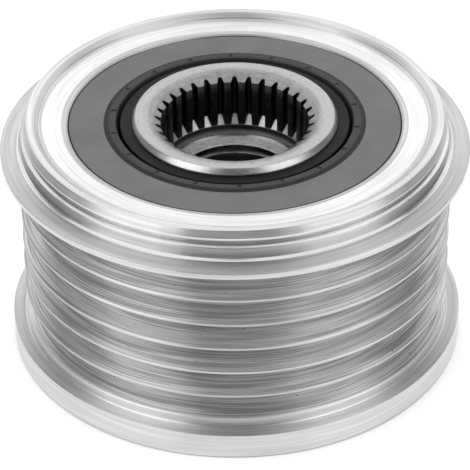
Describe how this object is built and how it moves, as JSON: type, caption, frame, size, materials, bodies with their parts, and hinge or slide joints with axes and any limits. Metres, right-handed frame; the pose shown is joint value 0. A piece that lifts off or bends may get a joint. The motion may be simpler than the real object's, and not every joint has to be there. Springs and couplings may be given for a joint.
{
  "type": "alternator pulley",
  "caption": "Overrunning alternator pulley: V-ribbed steel rim on roller bearings and a one-way clutch over a serrated, threaded hub.",
  "frame": {"origin": "centre of the rim's rear face, at the bottom of the part, on the axis", "axes": "+Z along the axis of rotation, from the rear face to the tool end"},
  "size_m": [0.059, 0.059, 0.0317],
  "materials": {
    "zinc_plated_steel": "satin",
    "ground_steel": "satin",
    "blackened_steel": "satin",
    "hardened_steel": "polished",
    "spring_steel": "satin",
    "nitrile_rubber": "matte",
    "black_polyamide": "matte"
  },
  "bodies": {
    "rim": {"pulley_rim": "zinc_plated_steel", "front_seal": "nitrile_rubber", "rear_seal": "nitrile_rubber", "clutch_ring": "hardened_steel", "clutch_cage": "black_polyamide", "clutch_spring_01": "spring_steel", "clutch_spring_02": "spring_steel", "clutch_spring_03": "spring_steel", "clutch_spring_04": "spring_steel", "clutch_spring_05": "spring_steel", "clutch_spring_06": "spring_steel", "clutch_spring_07": "spring_steel", "clutch_spring_08": "spring_steel"},
    "hub": {"hub": "ground_steel", "front_collar": "blackened_steel", "rear_collar": "blackened_steel"},
    "front_cage": {"front_bearing_cage": "black_polyamide"},
    "rear_cage": {"rear_bearing_cage": "black_polyamide"},
    "front_roller_01": {"front_roller_01": "hardened_steel"},
    "front_roller_02": {"front_roller_02": "hardened_steel"},
    "front_roller_03": {"front_roller_03": "hardened_steel"},
    "front_roller_04": {"front_roller_04": "hardened_steel"},
    "front_roller_05": {"front_roller_05": "hardened_steel"},
    "front_roller_06": {"front_roller_06": "hardened_steel"},
    "front_roller_07": {"front_roller_07": "hardened_steel"},
    "front_roller_08": {"front_roller_08": "hardened_steel"},
    "front_roller_09": {"front_roller_09": "hardened_steel"},
    "front_roller_10": {"front_roller_10": "hardened_steel"},
    "rear_roller_01": {"rear_roller_01": "hardened_steel"},
    "rear_roller_02": {"rear_roller_02": "hardened_steel"},
    "rear_roller_03": {"rear_roller_03": "hardened_steel"},
    "rear_roller_04": {"rear_roller_04": "hardened_steel"},
    "rear_roller_05": {"rear_roller_05": "hardened_steel"},
    "rear_roller_06": {"rear_roller_06": "hardened_steel"},
    "rear_roller_07": {"rear_roller_07": "hardened_steel"},
    "rear_roller_08": {"rear_roller_08": "hardened_steel"},
    "rear_roller_09": {"rear_roller_09": "hardened_steel"},
    "rear_roller_10": {"rear_roller_10": "hardened_steel"},
    "clutch_roller_01": {"clutch_roller_01": "hardened_steel"},
    "clutch_roller_02": {"clutch_roller_02": "hardened_steel"},
    "clutch_roller_03": {"clutch_roller_03": "hardened_steel"},
    "clutch_roller_04": {"clutch_roller_04": "hardened_steel"},
    "clutch_roller_05": {"clutch_roller_05": "hardened_steel"},
    "clutch_roller_06": {"clutch_roller_06": "hardened_steel"},
    "clutch_roller_07": {"clutch_roller_07": "hardened_steel"},
    "clutch_roller_08": {"clutch_roller_08": "hardened_steel"}
  },
  "joints": [
    {"name": "hub_spin", "type": "hinge", "parent": "rim", "child": "hub", "pos_m": [0, 0, 0], "axis": [0, 0, 1], "range_deg": [-360, 0]},
    {"name": "front_cage_orbit", "type": "hinge", "parent": "rim", "child": "front_cage", "pos_m": [0, 0, 0], "axis": [0, 0, 1], "range_deg": [-157, 0]},
    {"name": "rear_cage_orbit", "type": "hinge", "parent": "rim", "child": "rear_cage", "pos_m": [0, 0, 0], "axis": [0, 0, 1], "range_deg": [-157, 0]},
    {"name": "front_roller_01_spin", "type": "hinge", "parent": "front_cage", "child": "front_roller_01", "pos_m": [0, 0.01492, 0.0244], "axis": [0, 0, 1], "range_deg": [0, 1319]},
    {"name": "front_roller_02_spin", "type": "hinge", "parent": "front_cage", "child": "front_roller_02", "pos_m": [-0.00877, 0.01207, 0.0244], "axis": [0, 0, 1], "range_deg": [0, 1319]},
    {"name": "front_roller_03_spin", "type": "hinge", "parent": "front_cage", "child": "front_roller_03", "pos_m": [-0.01419, 0.00461, 0.0244], "axis": [0, 0, 1], "range_deg": [0, 1319]},
    {"name": "front_roller_04_spin", "type": "hinge", "parent": "front_cage", "child": "front_roller_04", "pos_m": [-0.01419, -0.00461, 0.0244], "axis": [0, 0, 1], "range_deg": [0, 1319]},
    {"name": "front_roller_05_spin", "type": "hinge", "parent": "front_cage", "child": "front_roller_05", "pos_m": [-0.00877, -0.01207, 0.0244], "axis": [0, 0, 1], "range_deg": [0, 1319]},
    {"name": "front_roller_06_spin", "type": "hinge", "parent": "front_cage", "child": "front_roller_06", "pos_m": [0, -0.01492, 0.0244], "axis": [0, 0, 1], "range_deg": [0, 1319]},
    {"name": "front_roller_07_spin", "type": "hinge", "parent": "front_cage", "child": "front_roller_07", "pos_m": [0.00877, -0.01207, 0.0244], "axis": [0, 0, 1], "range_deg": [0, 1319]},
    {"name": "front_roller_08_spin", "type": "hinge", "parent": "front_cage", "child": "front_roller_08", "pos_m": [0.01419, -0.00461, 0.0244], "axis": [0, 0, 1], "range_deg": [0, 1319]},
    {"name": "front_roller_09_spin", "type": "hinge", "parent": "front_cage", "child": "front_roller_09", "pos_m": [0.01419, 0.00461, 0.0244], "axis": [0, 0, 1], "range_deg": [0, 1319]},
    {"name": "front_roller_10_spin", "type": "hinge", "parent": "front_cage", "child": "front_roller_10", "pos_m": [0.00877, 0.01207, 0.0244], "axis": [0, 0, 1], "range_deg": [0, 1319]},
    {"name": "rear_roller_01_spin", "type": "hinge", "parent": "rear_cage", "child": "rear_roller_01", "pos_m": [0, 0.01492, 0.0066], "axis": [0, 0, 1], "range_deg": [0, 1319]},
    {"name": "rear_roller_02_spin", "type": "hinge", "parent": "rear_cage", "child": "rear_roller_02", "pos_m": [-0.00877, 0.01207, 0.0066], "axis": [0, 0, 1], "range_deg": [0, 1319]},
    {"name": "rear_roller_03_spin", "type": "hinge", "parent": "rear_cage", "child": "rear_roller_03", "pos_m": [-0.01419, 0.00461, 0.0066], "axis": [0, 0, 1], "range_deg": [0, 1319]},
    {"name": "rear_roller_04_spin", "type": "hinge", "parent": "rear_cage", "child": "rear_roller_04", "pos_m": [-0.01419, -0.00461, 0.0066], "axis": [0, 0, 1], "range_deg": [0, 1319]},
    {"name": "rear_roller_05_spin", "type": "hinge", "parent": "rear_cage", "child": "rear_roller_05", "pos_m": [-0.00877, -0.01207, 0.0066], "axis": [0, 0, 1], "range_deg": [0, 1319]},
    {"name": "rear_roller_06_spin", "type": "hinge", "parent": "rear_cage", "child": "rear_roller_06", "pos_m": [0, -0.01492, 0.0066], "axis": [0, 0, 1], "range_deg": [0, 1319]},
    {"name": "rear_roller_07_spin", "type": "hinge", "parent": "rear_cage", "child": "rear_roller_07", "pos_m": [0.00877, -0.01207, 0.0066], "axis": [0, 0, 1], "range_deg": [0, 1319]},
    {"name": "rear_roller_08_spin", "type": "hinge", "parent": "rear_cage", "child": "rear_roller_08", "pos_m": [0.01419, -0.00461, 0.0066], "axis": [0, 0, 1], "range_deg": [0, 1319]},
    {"name": "rear_roller_09_spin", "type": "hinge", "parent": "rear_cage", "child": "rear_roller_09", "pos_m": [0.01419, 0.00461, 0.0066], "axis": [0, 0, 1], "range_deg": [0, 1319]},
    {"name": "rear_roller_10_spin", "type": "hinge", "parent": "rear_cage", "child": "rear_roller_10", "pos_m": [0.00877, 0.01207, 0.0066], "axis": [0, 0, 1], "range_deg": [0, 1319]},
    {"name": "clutch_roller_01_spin", "type": "hinge", "parent": "rim", "child": "clutch_roller_01", "pos_m": [0, 0.01512, 0.0155], "axis": [0, 0, 1], "range_deg": [0, 2112]},
    {"name": "clutch_roller_02_spin", "type": "hinge", "parent": "rim", "child": "clutch_roller_02", "pos_m": [-0.01069, 0.01069, 0.0155], "axis": [0, 0, 1], "range_deg": [0, 2112]},
    {"name": "clutch_roller_03_spin", "type": "hinge", "parent": "rim", "child": "clutch_roller_03", "pos_m": [-0.01512, 0, 0.0155], "axis": [0, 0, 1], "range_deg": [0, 2112]},
    {"name": "clutch_roller_04_spin", "type": "hinge", "parent": "rim", "child": "clutch_roller_04", "pos_m": [-0.01069, -0.01069, 0.0155], "axis": [0, 0, 1], "range_deg": [0, 2112]},
    {"name": "clutch_roller_05_spin", "type": "hinge", "parent": "rim", "child": "clutch_roller_05", "pos_m": [0, -0.01512, 0.0155], "axis": [0, 0, 1], "range_deg": [0, 2112]},
    {"name": "clutch_roller_06_spin", "type": "hinge", "parent": "rim", "child": "clutch_roller_06", "pos_m": [0.01069, -0.01069, 0.0155], "axis": [0, 0, 1], "range_deg": [0, 2112]},
    {"name": "clutch_roller_07_spin", "type": "hinge", "parent": "rim", "child": "clutch_roller_07", "pos_m": [0.01512, 0, 0.0155], "axis": [0, 0, 1], "range_deg": [0, 2112]},
    {"name": "clutch_roller_08_spin", "type": "hinge", "parent": "rim", "child": "clutch_roller_08", "pos_m": [0.01069, 0.01069, 0.0155], "axis": [0, 0, 1], "range_deg": [0, 2112]}
  ],
  "couplings": [
    {"joint": "front_cage_orbit", "follows": "hub_spin", "ratio": 0.43231},
    {"joint": "rear_cage_orbit", "follows": "hub_spin", "ratio": 0.43231},
    {"joint": "front_roller_01_spin", "follows": "hub_spin", "ratio": -3.6616},
    {"joint": "front_roller_02_spin", "follows": "hub_spin", "ratio": -3.6616},
    {"joint": "front_roller_03_spin", "follows": "hub_spin", "ratio": -3.6616},
    {"joint": "front_roller_04_spin", "follows": "hub_spin", "ratio": -3.6616},
    {"joint": "front_roller_05_spin", "follows": "hub_spin", "ratio": -3.6616},
    {"joint": "front_roller_06_spin", "follows": "hub_spin", "ratio": -3.6616},
    {"joint": "front_roller_07_spin", "follows": "hub_spin", "ratio": -3.6616},
    {"joint": "front_roller_08_spin", "follows": "hub_spin", "ratio": -3.6616},
    {"joint": "front_roller_09_spin", "follows": "hub_spin", "ratio": -3.6616},
    {"joint": "front_roller_10_spin", "follows": "hub_spin", "ratio": -3.6616},
    {"joint": "rear_roller_01_spin", "follows": "hub_spin", "ratio": -3.6616},
    {"joint": "rear_roller_02_spin", "follows": "hub_spin", "ratio": -3.6616},
    {"joint": "rear_roller_03_spin", "follows": "hub_spin", "ratio": -3.6616},
    {"joint": "rear_roller_04_spin", "follows": "hub_spin", "ratio": -3.6616},
    {"joint": "rear_roller_05_spin", "follows": "hub_spin", "ratio": -3.6616},
    {"joint": "rear_roller_06_spin", "follows": "hub_spin", "ratio": -3.6616},
    {"joint": "rear_roller_07_spin", "follows": "hub_spin", "ratio": -3.6616},
    {"joint": "rear_roller_08_spin", "follows": "hub_spin", "ratio": -3.6616},
    {"joint": "rear_roller_09_spin", "follows": "hub_spin", "ratio": -3.6616},
    {"joint": "rear_roller_10_spin", "follows": "hub_spin", "ratio": -3.6616},
    {"joint": "clutch_roller_01_spin", "follows": "hub_spin", "ratio": -5.8636},
    {"joint": "clutch_roller_02_spin", "follows": "hub_spin", "ratio": -5.8636},
    {"joint": "clutch_roller_03_spin", "follows": "hub_spin", "ratio": -5.8636},
    {"joint": "clutch_roller_04_spin", "follows": "hub_spin", "ratio": -5.8636},
    {"joint": "clutch_roller_05_spin", "follows": "hub_spin", "ratio": -5.8636},
    {"joint": "clutch_roller_06_spin", "follows": "hub_spin", "ratio": -5.8636},
    {"joint": "clutch_roller_07_spin", "follows": "hub_spin", "ratio": -5.8636},
    {"joint": "clutch_roller_08_spin", "follows": "hub_spin", "ratio": -5.8636}
  ]
}
